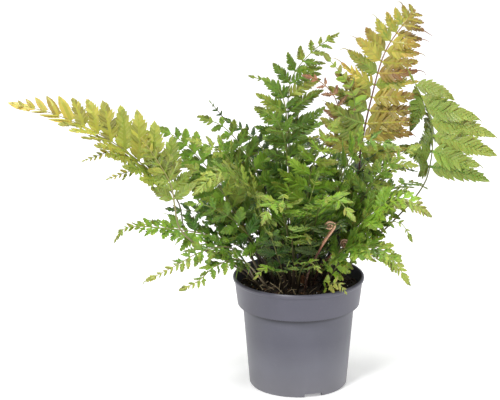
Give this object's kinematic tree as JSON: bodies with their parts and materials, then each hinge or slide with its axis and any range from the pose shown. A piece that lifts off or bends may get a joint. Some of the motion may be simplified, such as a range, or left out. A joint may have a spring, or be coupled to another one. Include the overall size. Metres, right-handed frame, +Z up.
{
  "type": "potted fern",
  "caption": "Potted autumn fern with arching, twice-divided fronds in a tapered plastic nursery pot with a collar and foot ring.",
  "frame": {"origin": "centre of the pot's foot pad, on the surface that the pot stands on", "axes": "+Z up, +X to the plant's right as seen from its front, +Y to its back"},
  "size_m": [0.4715, 0.3144, 0.371],
  "materials": {
    "pot_plastic": "satin grey injection-moulded polypropylene",
    "soil": "dark moist potting soil",
    "crown_scales": "brown, scaly, matt",
    "leaf_gold": "golden young frond, slightly glossy",
    "leaf_bronze": "bronze young frond, slightly glossy",
    "leaf_rust": "pinkish brown very young frond",
    "leaf_lime": "lime green young frond, glossy",
    "leaf_green": "mid green grown frond, glossy",
    "leaf_deep": "dark green old frond, glossy"
  },
  "bodies": {
    "root": {"nursery_pot": "pot_plastic", "soil": "soil", "crown": "crown_scales", "crozier_middle": "leaf_rust", "crozier_right": "leaf_rust", "frond_gold_left": "leaf_gold", "frond_bronze_tall": "leaf_bronze", "frond_right_green": "leaf_green", "frond_top_green": "leaf_green", "frond_reddish_back": "leaf_rust", "frond_upper_left_thin": "leaf_deep", "frond_left_high": "leaf_green", "frond_left_front": "leaf_green", "frond_left_low": "leaf_lime", "frond_trail_left_upper": "leaf_green", "frond_trail_left_lower": "leaf_green", "frond_left_middle": "leaf_deep", "frond_front_right": "leaf_lime", "frond_front_left": "leaf_lime", "frond_right_high": "leaf_green", "frond_centre_high": "leaf_lime", "frond_centre_left_high": "leaf_green", "frond_right_middle": "leaf_lime", "frond_right_upper": "leaf_green", "frond_right_low": "leaf_green", "frond_back_left": "leaf_green", "frond_back_middle": "leaf_green", "frond_back_right": "leaf_green", "frond_back_far_left": "leaf_deep", "frond_back_far_right": "leaf_green", "frond_young_front": "leaf_lime", "frond_young_right": "leaf_lime", "frond_young_left": "leaf_lime"}
  },
  "joints": []
}
